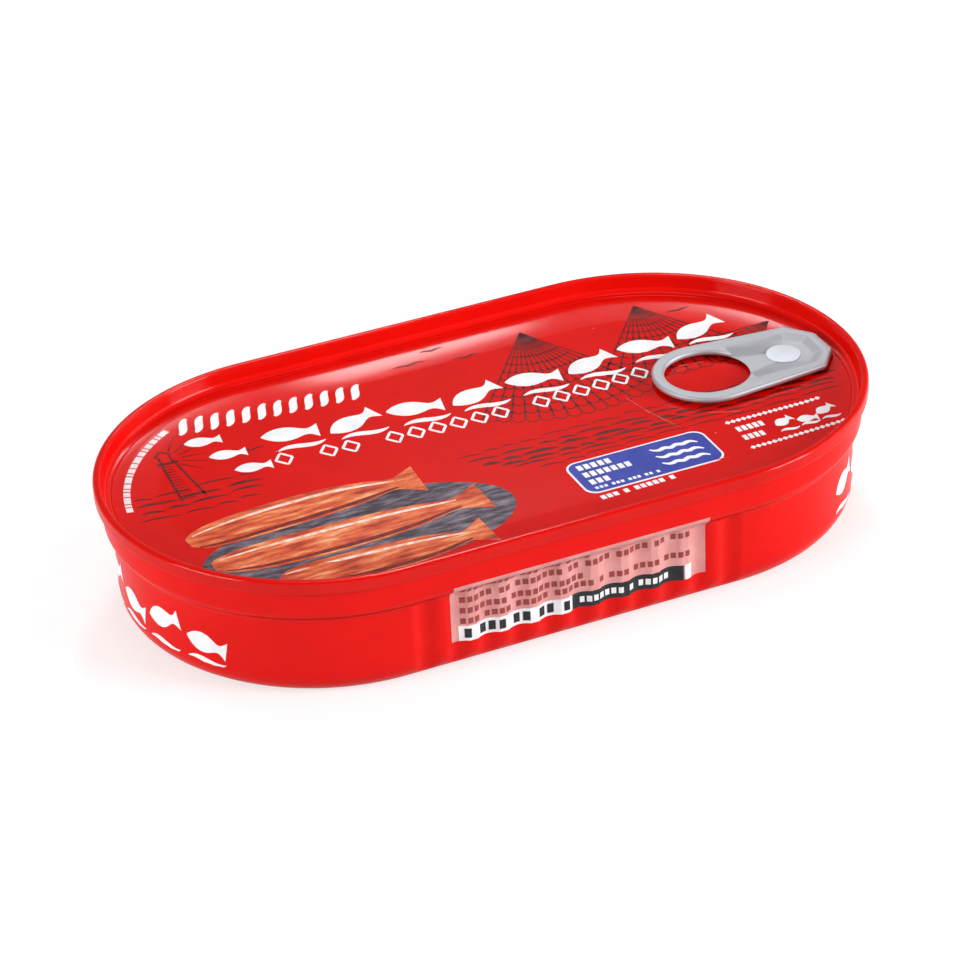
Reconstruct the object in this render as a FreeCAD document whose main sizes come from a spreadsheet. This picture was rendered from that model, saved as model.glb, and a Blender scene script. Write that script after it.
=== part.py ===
import FreeCAD, Part

# An oblong easy-open fish tin, shut and full, in millimetres.  It stands on its base
# with its length along X and the ring pull at the +X end, and its origin is the middle
# of the base.  Four sub-parts go to parts/: can_body, lid, pull_tab and rivet.
import math
import os

import Sketcher

# Driving dimensions: name, size and what it measures.
SIZES = (
    ("can_length", 148.0, "over the seam, along X"),
    ("can_width", 82.4, "over the seam, along Y"),
    ("can_height", 25.7, "base to the top of the seam"),
    ("seam_height", 2.6, "face of the double seam"),
    ("seam_thickness", 1.4, "double seam, outside to inside"),
    ("seam_outer_round", 0.6, "rounding of the seam's outer top edge"),
    ("seam_inner_round", 0.5, "rounding of the seam's inner top edge"),
    ("lid_gauge", 0.2, "sheet of the lid"),
    ("body_gauge", 0.21, "sheet of the can wall"),
    ("chuck_depth", 3.8, "seam top down to the lid's edge shelf"),
    ("chuck_draft", 0.3, "how far the chuck wall leans in"),
    ("chuck_round", 0.4, "rounding where the chuck wall meets the shelf"),
    ("score_inset", 1.3, "chuck wall to the middle of the score line"),
    ("score_breadth", 0.3, "score line, side to side"),
    ("score_depth", 0.08, "score line, into the lid"),
    ("dish_start", 1.9, "chuck wall to where the panel starts to sink"),
    ("dish_breadth", 4.5, "sloping border of the panel"),
    ("dish_depth", 0.4, "how far the panel sinks"),
    ("neck_height", 4.6, "seam down to the shoulder step"),
    ("step_rise", 3.0, "height of the shoulder step"),
    ("step_inset", 1.6, "how far the lower wall stands in"),
    ("foot_round", 4.5, "rounding between lower wall and base"),
    ("foot_breadth", 2.5, "flat foot all round the base"),
    ("recess_slope", 1.2, "slope from the foot up to the base panel"),
    ("recess_depth", 0.6, "base panel above the foot"),
    ("flute_overrun", 6.0, "row of channels, past the end of the straight side"),
    ("flute_pitch", 5.95, "channel to channel"),
    ("flute_depth", 0.5, "channel, into the lower wall"),
    ("flute_radius", 5.1, "radius of a channel"),
    ("flute_margin", 0.05, "how much steeper a channel's top is than the step"),
    ("tab_clearance", 0.05, "lid's shelf up to the underside of the tab"),
    ("tab_thickness", 1.2, "tab over its curled edge"),
    ("tab_edge_round", 0.5, "rounding of the curled edge"),
    ("nose_gap", 1.8, "nose of the tab to the foot of the chuck wall"),
    ("nose_breadth", 7.0, "front edge of the nose"),
    ("nose_chamfer", 4.2, "length of the nose's slanted corners"),
    ("nose_corner", 1.8, "rounding of the nose's corners in plan"),
    ("shoulder_breadth", 17.0, "tab across the back of the slanted corners"),
    ("ring_setback", 25.0, "nose to the centre of the finger ring"),
    ("ring_radius", 10.45, "outside of the finger ring"),
    ("ring_hole_radius", 7.7, "ends of the finger hole"),
    ("ring_hole_stretch", 0.9, "straight run of the finger hole"),
    ("web_thickness", 0.35, "floor of the tab round the rivet"),
    ("pan_rim", 1.7, "curled edge beside the pan"),
    ("pan_slope", 1.9, "slope from the curled edge down to the web"),
    ("pan_lap", 1.0, "how far the pan runs in over the finger hole"),
    ("rivet_setback", 8.8, "nose to the rivet"),
    ("rivet_head_radius", 3.25, "rivet head"),
    ("rivet_head_height", 0.35, "rivet head above the web"),
    ("rivet_head_round", 0.12, "rounding of the rivet head's top edge"),
    ("rivet_stem_radius", 2.2, "rivet through the web"),
    ("rivet_seat_radius", 3.5, "raised seat under the web"),
)

# Places worked out from the driving dimensions, measured from the axis of a round end.
HALF_RUN = "(Sizes.can_length - Sizes.can_width) / 2"
SEAM_OUT = "Sizes.can_width / 2"
SEAM_FOOT = "Sizes.can_height - Sizes.seam_height"
CHUCK_TOP = f"{SEAM_OUT} - Sizes.seam_thickness"
CHUCK_BASE = f"{CHUCK_TOP} - Sizes.chuck_draft"
SHELF = "Sizes.can_height - Sizes.chuck_depth"
PANEL = f"{SHELF} - Sizes.dish_depth"
DISH_OUT = f"{CHUCK_BASE} - Sizes.dish_start"
DISH_IN = f"{DISH_OUT} - Sizes.dish_breadth"
DISH_MID = f"{DISH_OUT} - Sizes.dish_breadth / 2"
DISH_RADIUS = (
    "(Sizes.dish_breadth ^ 2 + Sizes.dish_depth ^ 2) / (4 * Sizes.dish_depth)")
SCORE = f"{CHUCK_BASE} - Sizes.score_inset"
CHUCK_RUN = "Sizes.chuck_depth - Sizes.chuck_round - Sizes.seam_inner_round"
CHUCK_AT_SEAM = (
    f"{CHUCK_BASE} + Sizes.lid_gauge + Sizes.chuck_draft"
    f" * (Sizes.chuck_depth - Sizes.seam_height - Sizes.chuck_round) / ({CHUCK_RUN})")
NECK = f"{CHUCK_AT_SEAM} + Sizes.body_gauge"
WALL = f"{NECK} - Sizes.step_inset"
STEP_TOP = f"{SEAM_FOOT} - Sizes.neck_height"
STEP_FOOT = f"{STEP_TOP} - Sizes.step_rise"
STEP_RADIUS = (
    "(Sizes.step_inset ^ 2 + Sizes.step_rise ^ 2) / (4 * Sizes.step_inset)")
FOOT_OUT = f"{WALL} - Sizes.foot_round"
FOOT_IN = f"{FOOT_OUT} - Sizes.foot_breadth"

# Places of the tab and the rivet, measured from the middle of the lid.
NOSE = f"{HALF_RUN} + {CHUCK_BASE} - Sizes.nose_gap"
RING = f"{NOSE} - Sizes.ring_setback"
RIVET = f"{NOSE} - Sizes.rivet_setback"
TAB_FOOT = f"{SHELF} + Sizes.tab_clearance"

UPRIGHT = FreeCAD.Rotation(FreeCAD.Vector(1, 0, 0), 90)
UP = FreeCAD.Vector(0, 0, 1)

doc = FreeCAD.newDocument("fish_tin")


def make_sheet():
    """Spreadsheet of the driving dimensions, one alias for each."""
    table = doc.addObject("Spreadsheet::Sheet", "Sizes")
    for row, (name, number, note) in enumerate(SIZES, start=1):
        table.set(f"A{row}", name)
        table.set(f"B{row}", str(number))
        table.setAlias(f"B{row}", name)
        table.set(f"C{row}", note)
    doc.recompute()
    return table


sheet = make_sheet()


def size(expression):
    """Number that an expression on the sheet's sizes gives now."""
    return float(sheet.evalExpression(expression))


# ---------------------------------------------------------------- sketch helpers

def place_point(sketch, geometry, end, across, along):
    """Tie one end of a sketch line to two expressions; "0" puts it on the axis."""
    for kind, axis, expression in (("DistanceX", -2, across), ("DistanceY", -1, along)):
        if expression == "0":
            sketch.addConstraint(
                Sketcher.Constraint("PointOnObject", geometry, end, axis))
            continue
        index = sketch.addConstraint(
            Sketcher.Constraint(kind, -1, 1, geometry, end, size(expression)))
        sketch.setExpression(f"Constraints[{index}]", expression)


def set_radius(sketch, geometry, radius):
    """Tie the radius of an arc or circle to an expression."""
    index = sketch.addConstraint(
        Sketcher.Constraint("Radius", geometry, size(radius)))
    sketch.setExpression(f"Constraints[{index}]", radius)


def arc_between(start, end, radius, turn):
    """Arc from start to end; turn is +1 to go anticlockwise, -1 clockwise."""
    chord = end - start
    half = chord.Length / 2
    rise = math.sqrt(max(radius ** 2 - half ** 2, 0.0))
    side = FreeCAD.Vector(-chord.y, chord.x, 0).normalize()
    centre = start + chord * 0.5 + side * rise * turn
    first, last = (start, end) if turn > 0 else (end, start)
    angles = [math.atan2(p.y - centre.y, p.x - centre.x) for p in (first, last)]
    if angles[1] < angles[0]:
        angles[1] += 2 * math.pi
    circle = Part.Circle(centre, UP, radius)
    return Part.ArcOfCircle(circle, angles[0], angles[1])


def draw_loop(sketch, corners):
    """Closed outline through corners (across, along) or, for an arc that leads to
    the corner, (across, along, radius, turn), all but the turn as expressions."""
    points = [FreeCAD.Vector(size(c[0]), size(c[1]), 0) for c in corners]
    pieces = []
    for index, corner in enumerate(corners):
        start = points[index - 1]
        end = points[index]
        if len(corner) == 2:
            piece = sketch.addGeometry(Part.LineSegment(start, end))
            pieces.append((piece, 1, 2))
            continue
        radius, turn = corner[2:]
        piece = sketch.addGeometry(arc_between(start, end, size(radius), turn))
        pieces.append((piece, 1, 2) if turn > 0 else (piece, 2, 1))
    for index, corner in enumerate(corners):
        piece, _, last = pieces[index]
        following, first, _ = pieces[(index + 1) % len(corners)]
        sketch.addConstraint(
            Sketcher.Constraint("Coincident", piece, last, following, first))
        place_point(sketch, piece, last, corner[0], corner[1])
        if len(corner) == 4:
            set_radius(sketch, piece, corner[2])


def section_sketch(name, corners):
    """Half section in the upright plane: X is the distance from the axis."""
    sketch = doc.addObject("Sketcher::SketchObject", name)
    sketch.Placement = FreeCAD.Placement(FreeCAD.Vector(), UPRIGHT)
    draw_loop(sketch, corners)
    return sketch


# ------------------------------------------------------------------ oval sub-parts

def make_oval(name, section):
    """Solid whose half section runs round an oblong with half-round ends."""
    members = []
    for side, turn in (("far", 90), ("near", -90)):
        run = doc.addObject("Part::Extrusion", f"{name}_{side}_side")
        run.Base = section
        run.DirMode = "Normal"
        run.Solid = True
        run.Symmetric = True
        run.setExpression("LengthFwd", f"2 * {HALF_RUN}")
        run.Placement = FreeCAD.Placement(FreeCAD.Vector(), FreeCAD.Rotation(UP, turn))
        members.append(run)
    for side, turn, sign in (("right", -90, ""), ("left", 90, "-")):
        end = doc.addObject("Part::Revolution", f"{name}_{side}_end")
        end.Source = section
        end.Axis = UP
        end.Base = FreeCAD.Vector()
        end.Angle = 180
        end.Solid = True
        end.Placement = FreeCAD.Placement(FreeCAD.Vector(), FreeCAD.Rotation(UP, turn))
        end.setExpression("Placement.Base.x", f"{sign}({HALF_RUN})")
        members.append(end)
    oval = doc.addObject("Part::MultiFuse", name)
    oval.Shapes = members
    oval.Refine = True
    return oval


def lid_underside():
    """Corners of the lid's underside, from the foot of the seam in to the axis."""
    under = "Sizes.lid_gauge"
    return [
        (CHUCK_AT_SEAM, SEAM_FOOT),
        (f"{CHUCK_BASE} + {under}", f"{SHELF} + Sizes.chuck_round"),
        (f"{CHUCK_BASE} - Sizes.chuck_round", f"{SHELF} - {under}",
         f"Sizes.chuck_round + {under}", -1),
        (DISH_OUT, f"{SHELF} - {under}"),
        (DISH_MID, f"{SHELF} - Sizes.dish_depth / 2 - {under}", DISH_RADIUS, 1),
        (DISH_IN, f"{PANEL} - {under}", DISH_RADIUS, -1),
        ("0", f"{PANEL} - {under}"),
    ]


def make_lid():
    """Easy-open lid: double seam, chuck wall, scored shelf and sunken panel."""
    score_low = f"{SHELF} - Sizes.score_depth"
    section = [
        (DISH_IN, PANEL),
        (DISH_MID, f"{SHELF} - Sizes.dish_depth / 2", DISH_RADIUS, 1),
        (DISH_OUT, SHELF, DISH_RADIUS, -1),
        (f"{SCORE} - Sizes.score_breadth / 2", SHELF),
        (SCORE, score_low),
        (f"{SCORE} + Sizes.score_breadth / 2", SHELF),
        (f"{CHUCK_BASE} - Sizes.chuck_round", SHELF),
        (CHUCK_BASE, f"{SHELF} + Sizes.chuck_round", "Sizes.chuck_round", 1),
        (CHUCK_TOP, "Sizes.can_height - Sizes.seam_inner_round"),
        (f"{CHUCK_TOP} + Sizes.seam_inner_round", "Sizes.can_height",
         "Sizes.seam_inner_round", -1),
        (f"{SEAM_OUT} - Sizes.seam_outer_round", "Sizes.can_height"),
        (SEAM_OUT, "Sizes.can_height - Sizes.seam_outer_round",
         "Sizes.seam_outer_round", -1),
        (SEAM_OUT, SEAM_FOOT),
    ]
    section += lid_underside()
    section.append(("0", PANEL))
    return make_oval("lid", section_sketch("lid_section", section))


# ------------------------------------------------------------------------ can body

def make_can_blank():
    """Full can without its channels: foot, lower wall, shoulder step and neck."""
    middle = f"{NECK} - Sizes.step_inset / 2"
    section = [
        (f"{FOOT_IN} - Sizes.recess_slope", "Sizes.recess_depth"),
        (FOOT_IN, "0"),
        (FOOT_OUT, "0"),
        (WALL, "Sizes.foot_round", "Sizes.foot_round", 1),
        (WALL, STEP_FOOT),
        (middle, f"{STEP_TOP} - Sizes.step_rise / 2", STEP_RADIUS, -1),
        (NECK, STEP_TOP, STEP_RADIUS, 1),
        (NECK, SEAM_FOOT),
    ]
    section += lid_underside()
    section.append(("0", "Sizes.recess_depth"))
    return make_oval("can_blank", section_sketch("can_section", section))


def make_flute_cutters():
    """One upright cutter for each channel of both long sides, fused."""
    fade = "Sizes.step_inset + Sizes.flute_depth + Sizes.flute_margin"
    section = section_sketch("flute_section", [
        ("Sizes.flute_radius", "0"),
        ("Sizes.flute_radius", STEP_FOOT),
        (f"Sizes.flute_radius - ({fade})", STEP_TOP),
        ("0", STEP_TOP),
        ("0", "0"),
    ])
    away = f"{WALL} - Sizes.flute_depth + Sizes.flute_radius"
    count = int(size(f"(2 * {HALF_RUN} + 2 * Sizes.flute_overrun) / Sizes.flute_pitch"))
    cutters = []
    for side, sign in (("far", ""), ("near", "-")):
        for number in range(count):
            cutter = doc.addObject("Part::Revolution", f"flute_{side}_{number + 1}")
            cutter.Source = section
            cutter.Axis = UP
            cutter.Base = FreeCAD.Vector()
            cutter.Angle = 360
            cutter.Solid = True
            cutter.setExpression(
                "Placement.Base.x",
                f"{number - (count - 1) / 2} * Sizes.flute_pitch")
            cutter.setExpression("Placement.Base.y", f"{sign}({away})")
            cutters.append(cutter)
    fused = doc.addObject("Part::MultiFuse", "flute_cutters")
    fused.Shapes = cutters
    return fused


def make_can_body():
    """The blank with its channels cut; they run out in the foot and the step."""
    can = doc.addObject("Part::Cut", "can_body")
    can.Base = make_can_blank()
    can.Tool = make_flute_cutters()
    return can


# ------------------------------------------------------------- pull tab and rivet

def origin_plane(body, role):
    """One of a body's own origin planes."""
    return next(f for f in body.Origin.OriginFeatures if f.Role == role)


def body_sketch(body, name, role, level=None):
    """Sketch on one of the body's origin planes, raised to a level if one is given."""
    sketch = body.newObject("Sketcher::SketchObject", name)
    sketch.AttachmentSupport = [(origin_plane(body, role), "")]
    sketch.MapMode = "FlatFace"
    if level:
        sketch.setExpression("AttachmentOffset.Base.z", level)
    return sketch


def feature(body, kind, name, profile):
    """PartDesign feature on a profile sketch."""
    made = body.newObject(f"PartDesign::{kind}", name)
    made.Profile = profile
    return made


def round_edges(body, base, name, radius, wanted):
    """Fillet on the edges of a feature that a test picks by their place."""
    doc.recompute()
    picked = [f"Edge{number}" for number, edge in enumerate(base.Shape.Edges, start=1)
              if wanted(edge.BoundBox)]
    fillet = body.newObject("PartDesign::Fillet", name)
    fillet.Base = (base, picked)
    fillet.setExpression("Radius", radius)
    return fillet


def mirror_points(sketch, pairs):
    """Make each pair of line ends symmetric about the sketch's X axis."""
    for one, other in pairs:
        sketch.addConstraint(Sketcher.Constraint("Symmetric", *one, *other, -1))


def draw_tab_outline(sketch):
    """Ring arc, two flanks that leave it at a tangent, slanted corners and nose."""
    radius = size("Sizes.ring_radius")
    tip = ("Sizes.ring_setback", "Sizes.nose_breadth / 2")
    flank = ("Sizes.ring_setback - Sizes.nose_chamfer", "Sizes.shoulder_breadth / 2")
    tip_x, tip_y = (size(expression) for expression in tip)
    flank_x, flank_y = (size(expression) for expression in flank)
    touch = math.atan2(flank_y, flank_x) + math.acos(radius / math.hypot(flank_x, flank_y))
    leave_x = radius * math.cos(touch)
    leave_y = radius * math.sin(touch)
    loop = [(leave_x, -leave_y), (flank_x, -flank_y), (tip_x, -tip_y),
            (tip_x, tip_y), (flank_x, flank_y), (leave_x, leave_y)]
    points = [FreeCAD.Vector(*place, 0) for place in loop]
    circle = Part.Circle(FreeCAD.Vector(), UP, radius)
    ring = sketch.addGeometry(Part.ArcOfCircle(circle, touch, 2 * math.pi - touch))
    lines = [sketch.addGeometry(Part.LineSegment(start, end))
             for start, end in zip(points, points[1:])]
    for line, following in zip(lines, lines[1:]):
        sketch.addConstraint(Sketcher.Constraint("Coincident", line, 2, following, 1))
    sketch.addConstraint(Sketcher.Constraint("Tangent", ring, 2, lines[0], 1))
    sketch.addConstraint(Sketcher.Constraint("Tangent", ring, 1, lines[-1], 2))
    sketch.addConstraint(Sketcher.Constraint("Coincident", ring, 3, -1, 1))
    set_radius(sketch, ring, "Sizes.ring_radius")
    place_point(sketch, lines[2], 2, *tip)
    place_point(sketch, lines[3], 2, *flank)
    mirror_points(sketch, [((lines[2], 1), (lines[2], 2)),
                           ((lines[0], 2), (lines[3], 2))])


def draw_slot(sketch, radius, stretch):
    """Slot along X about the sketch's origin: two round ends and two lines."""
    reach = size(radius)
    half = size(stretch) / 2
    ends = []
    for sign, first in ((1, -math.pi / 2), (-1, math.pi / 2)):
        circle = Part.Circle(FreeCAD.Vector(sign * half, 0, 0), UP, reach)
        arc = Part.ArcOfCircle(circle, first, first + math.pi)
        ends.append(sketch.addGeometry(arc))
    right, left = ends
    for start, end, level in ((right, left, reach), (left, right, -reach)):
        sign = 1 if level > 0 else -1
        line = sketch.addGeometry(Part.LineSegment(
            FreeCAD.Vector(sign * half, level, 0), FreeCAD.Vector(-sign * half, level, 0)))
        sketch.addConstraint(Sketcher.Constraint("Tangent", start, 2, line, 1))
        sketch.addConstraint(Sketcher.Constraint("Tangent", line, 2, end, 1))
    sketch.addConstraint(Sketcher.Constraint("Symmetric", right, 3, left, 3, -1, 1))
    sketch.addConstraint(Sketcher.Constraint("PointOnObject", right, 3, -1))
    set_radius(sketch, right, radius)
    index = sketch.addConstraint(
        Sketcher.Constraint("DistanceX", -1, 1, right, 3, half))
    sketch.setExpression(f"Constraints[{index}]", f"({stretch}) / 2")


def draw_pan(sketch, inset):
    """Six-sided outline of the pan, drawn in by an inset from the curled edge."""
    mouth = "Sizes.ring_hole_stretch / 2 + Sizes.ring_hole_radius - Sizes.pan_lap"
    front = "Sizes.ring_setback - Sizes.pan_rim"
    back = "Sizes.ring_setback - Sizes.nose_chamfer - Sizes.pan_rim / 2"
    flank = "Sizes.shoulder_breadth / 2 - Sizes.pan_rim"
    corners = [(f"{front} - ({inset})", f"Sizes.nose_breadth / 2 - ({inset}) / 2"),
               (f"{back} - ({inset}) / 2", f"{flank} - ({inset})"),
               (mouth, f"{flank} - ({inset})")]
    upper = [FreeCAD.Vector(size(x), size(y), 0) for x, y in corners]
    lower = [FreeCAD.Vector(point.x, -point.y, 0) for point in reversed(upper)]
    points = upper + lower
    lines = [sketch.addGeometry(Part.LineSegment(points[index - 1], points[index]))
             for index in range(len(points))]
    for index, line in enumerate(lines):
        following = lines[(index + 1) % len(lines)]
        sketch.addConstraint(Sketcher.Constraint("Coincident", line, 2, following, 1))
    for index, corner in enumerate(corners):
        place_point(sketch, lines[index], 2, *corner)
        mirror_points(sketch, [((lines[index], 2), (lines[5 - index], 2))])


def make_pull_tab():
    """Ring pull of folded sheet: finger ring, curled edge, sunken pan and web."""
    tab = doc.addObject("PartDesign::Body", "pull_tab")
    tab.setExpression("Placement.Base.x", RING)
    tab.setExpression("Placement.Base.z", TAB_FOOT)

    outline = body_sketch(tab, "tab_outline", "XY_Plane")
    draw_tab_outline(outline)
    plate = feature(tab, "Pad", "tab_plate", outline)
    plate.setExpression("Length", "Sizes.tab_thickness")

    ring_end = size("Sizes.ring_radius")
    nose = round_edges(tab, plate, "nose_corners", "Sizes.nose_corner",
                       lambda box: box.ZLength > box.XLength + box.YLength
                       and box.XMin > ring_end)

    slot = body_sketch(tab, "finger_slot", "XY_Plane")
    draw_slot(slot, "Sizes.ring_hole_radius", "Sizes.ring_hole_stretch")
    hole = feature(tab, "Pocket", "finger_hole", slot)
    hole.Type = "ThroughAll"
    hole.Reversed = True

    curl = round_edges(tab, hole, "curled_edges", "Sizes.tab_edge_round",
                       lambda box: box.ZLength < 1e-6)
    doc.recompute()

    rim = body_sketch(tab, "pan_top", "XY_Plane", "Sizes.tab_thickness")
    draw_pan(rim, "0")
    floor = body_sketch(tab, "pan_floor", "XY_Plane", "Sizes.web_thickness")
    draw_pan(floor, "Sizes.pan_slope")
    pan = feature(tab, "SubtractiveLoft", "pan", rim)
    pan.Sections = [floor]
    pan.Ruled = True

    bore = body_sketch(tab, "rivet_bore_circle", "XY_Plane")
    centre = FreeCAD.Vector(size("Sizes.ring_setback - Sizes.rivet_setback"), 0, 0)
    radius = size("Sizes.rivet_stem_radius")
    circle = bore.addGeometry(Part.Circle(centre, UP, radius))
    place_point(bore, circle, 3, "Sizes.ring_setback - Sizes.rivet_setback", "0")
    set_radius(bore, circle, "Sizes.rivet_stem_radius")
    rivet_bore = feature(tab, "Pocket", "rivet_bore", bore)
    rivet_bore.Type = "ThroughAll"
    rivet_bore.Reversed = True
    return tab, (plate, nose, hole, curl, pan, rivet_bore)


def make_rivet():
    """Rivet drawn up from the lid: seat under the web, stem and flat head."""
    rivet = doc.addObject("PartDesign::Body", "rivet")
    rivet.setExpression("Placement.Base.x", RIVET)
    rivet.setExpression("Placement.Base.z", PANEL)
    seat = "Sizes.dish_depth + Sizes.tab_clearance"
    web = f"{seat} + Sizes.web_thickness"
    head = f"{web} + Sizes.rivet_head_height"
    profile = body_sketch(rivet, "rivet_profile", "XZ_Plane")
    draw_loop(profile, [
        ("Sizes.rivet_seat_radius", "0"),
        ("Sizes.rivet_seat_radius", seat),
        ("Sizes.rivet_stem_radius", seat),
        ("Sizes.rivet_stem_radius", web),
        ("Sizes.rivet_head_radius", web),
        ("Sizes.rivet_head_radius", f"{head} - Sizes.rivet_head_round"),
        ("Sizes.rivet_head_radius - Sizes.rivet_head_round", head,
         "Sizes.rivet_head_round", 1),
        ("0", head),
        ("0", "0"),
    ])
    turned = feature(rivet, "Revolution", "rivet_turned", profile)
    turned.ReferenceAxis = (profile, ["V_Axis"])
    turned.Angle = 360
    return rivet


# --------------------------------------------------------------- check and write out

def check_document():
    """Stop on any object that failed to build."""
    for item in doc.Objects:
        if "Invalid" in item.State or "Error" in item.State:
            raise RuntimeError(f"{item.Name} failed: {item.State}")


def check_cuts(features):
    """Stop if a cut took nothing away from the feature before it."""
    volumes = [item.Shape.Volume for item in features]
    for item, before, after in zip(features[1:], volumes, volumes[1:]):
        if after > before - 1e-3:
            raise RuntimeError(f"{item.Name} cuts nothing")


def write_parts(parts):
    """Each sub-part as one valid solid in a STEP file named after it."""
    os.makedirs("parts", exist_ok=True)
    for part in parts:
        shape = part.Shape
        if shape.isNull() or not shape.isValid() or len(shape.Solids) != 1:
            raise RuntimeError(f"{part.Label} isn't one valid solid")
        shape.exportStep(f"parts/{part.Label}.step")
        box = shape.optimalBoundingBox(False)
        print(f"{part.Label}: {shape.Volume:.1f} mm3, "
              f"X {box.XMin:.2f} {box.XMax:.2f}, Y {box.YMin:.2f} {box.YMax:.2f}, "
              f"Z {box.ZMin:.2f} {box.ZMax:.2f}")


can_body = make_can_body()
lid = make_lid()
pull_tab, tab_features = make_pull_tab()
rivet = make_rivet()
doc.recompute()
check_document()
check_cuts((can_body.Base, can_body))
check_cuts(tab_features)
write_parts((can_body, lid, pull_tab, rivet))
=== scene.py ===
import math
import random

import bpy
from mathutils import Matrix, Quaternion, Vector


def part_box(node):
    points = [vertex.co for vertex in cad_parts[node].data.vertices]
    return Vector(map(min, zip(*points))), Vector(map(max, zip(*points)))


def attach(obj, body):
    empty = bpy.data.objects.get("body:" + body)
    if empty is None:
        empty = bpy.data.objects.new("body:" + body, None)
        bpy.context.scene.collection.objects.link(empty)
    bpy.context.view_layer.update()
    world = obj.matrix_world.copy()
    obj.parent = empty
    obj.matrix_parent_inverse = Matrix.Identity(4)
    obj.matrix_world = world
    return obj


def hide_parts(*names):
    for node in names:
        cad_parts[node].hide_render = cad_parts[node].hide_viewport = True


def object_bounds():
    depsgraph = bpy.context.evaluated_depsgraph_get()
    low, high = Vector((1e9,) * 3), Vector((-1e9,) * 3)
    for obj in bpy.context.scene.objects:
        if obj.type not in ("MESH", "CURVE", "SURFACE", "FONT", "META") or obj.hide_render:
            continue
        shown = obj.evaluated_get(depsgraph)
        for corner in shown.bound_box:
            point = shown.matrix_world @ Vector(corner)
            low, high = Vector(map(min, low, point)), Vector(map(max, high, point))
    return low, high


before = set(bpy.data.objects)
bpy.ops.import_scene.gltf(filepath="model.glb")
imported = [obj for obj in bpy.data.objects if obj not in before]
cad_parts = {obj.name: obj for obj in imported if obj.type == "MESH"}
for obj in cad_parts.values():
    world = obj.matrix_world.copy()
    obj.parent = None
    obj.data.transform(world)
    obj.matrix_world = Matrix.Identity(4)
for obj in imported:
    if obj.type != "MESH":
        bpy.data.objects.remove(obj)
cad_low, cad_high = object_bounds()


# The studio: a round pale table that runs up into a low wall, five soft lamps and a dim room.
# The wall and table show plain white to the eye and in gloss, and the table keeps the tin's shadow.

MM = 0.001
TABLE_RADIUS = 3.0
TABLE_WALL = 1.0
TABLE_COLOUR = "#BCBCBC"
TABLE_GLOW = 0.62
TABLE_GAP = 0.02 * MM
ROOM_STRENGTH = 0.24


def linear(colour):
    """An sRGB hex value as linear red, green, blue and alpha."""
    shares = [int(colour[i:i + 2], 16) / 255 for i in (1, 3, 5)]
    return [s / 12.92 if s <= 0.04045 else ((s + 0.055) / 1.055) ** 2.4 for s in shares] + [1.0]


def node(tree, kind, settings=(), values=(), links=()):
    """Adds a node: settings are its own properties, values its unlinked inputs, links its linked ones."""
    made = tree.nodes.new("ShaderNode" + kind)
    for name, value in dict(settings).items():
        setattr(made, name, value)
    for name, value in dict(values).items():
        made.inputs[name].default_value = value
    for name, source in dict(links).items():
        tree.links.new(source, made.inputs[name])
    return made


def new_material(name):
    """An empty material and its node tree."""
    material = bpy.data.materials.new(name)
    material.use_nodes = True
    material.node_tree.nodes.clear()
    return material, material.node_tree


def select_only(piece):
    """Deselects everything and makes one piece selected and active."""
    bpy.ops.object.select_all(action="DESELECT")
    piece.select_set(True)
    bpy.context.view_layer.objects.active = piece


def edit_all(piece):
    """Opens one piece in edit mode with all of its mesh selected."""
    select_only(piece)
    bpy.ops.object.mode_set(mode="EDIT")
    bpy.ops.mesh.select_all(action="SELECT")


def camera_side_glow(tree, strength):
    """A strength that only camera, glossy and see-through rays meet."""
    path = node(tree, "LightPath")
    either = node(tree, "Math", {"operation": "MAXIMUM"},
                  links={0: path.outputs["Is Camera Ray"], 1: path.outputs["Is Glossy Ray"]})
    any_of = node(tree, "Math", {"operation": "MAXIMUM"},
                  links={0: either.outputs[0], 1: path.outputs["Is Transmission Ray"]})
    return node(tree, "Math", {"operation": "MULTIPLY"}, {1: strength}, {0: any_of.outputs[0]})


def make_table():
    bpy.ops.mesh.primitive_circle_add(vertices=96, radius=TABLE_RADIUS, fill_type="NGON",
                                      location=(0, 0, cad_low.z - TABLE_GAP))
    table = bpy.context.object
    table.name = "studio_table"
    edit_all(table)
    bpy.ops.mesh.extrude_edges_move(TRANSFORM_OT_translate={"value": (0, 0, TABLE_WALL)})
    bpy.ops.object.mode_set(mode="OBJECT")
    material, tree = new_material("white_studio_paper")
    paper = node(tree, "BsdfDiffuse", values={"Color": linear(TABLE_COLOUR)})
    glow = node(tree, "Emission", links={"Strength": camera_side_glow(tree, TABLE_GLOW).outputs[0]})
    both = node(tree, "AddShader", links={0: paper.outputs[0], 1: glow.outputs[0]})
    clear = node(tree, "BsdfTransparent")
    side = node(tree, "NewGeometry")
    seen = node(tree, "MixShader", links={0: side.outputs["Backfacing"], 1: both.outputs[0], 2: clear.outputs[0]})
    node(tree, "OutputMaterial", links={"Surface": seen.outputs[0]})
    table.data.materials.append(material)


def make_room():
    room = bpy.data.worlds.new("dim_room")
    bpy.context.scene.world = room
    room.use_nodes = True
    tree = room.node_tree
    tree.nodes.clear()
    air = node(tree, "Background", values={"Color": linear("#FFFFFF"), "Strength": ROOM_STRENGTH})
    node(tree, "OutputWorld", links={"Surface": air.outputs[0]})


def add_lamp(name, turn, rise, distance, breadth, height, power):
    """A soft lamp that faces the tin from a compass turn (0 is the front, + the right) and a rise."""
    a, e = math.radians(turn), math.radians(rise)
    away = Vector((math.sin(a) * math.cos(e), -math.cos(a) * math.cos(e), math.sin(e)))
    bpy.ops.object.light_add(type="AREA", location=away * distance)
    lamp = bpy.context.object
    lamp.name = name
    lamp.rotation_mode = "QUATERNION"
    lamp.rotation_quaternion = (-away).to_track_quat("-Z", "Y")
    lamp.data.shape = "RECTANGLE"
    lamp.data.size = breadth
    lamp.data.size_y = height
    lamp.data.energy = power


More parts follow.
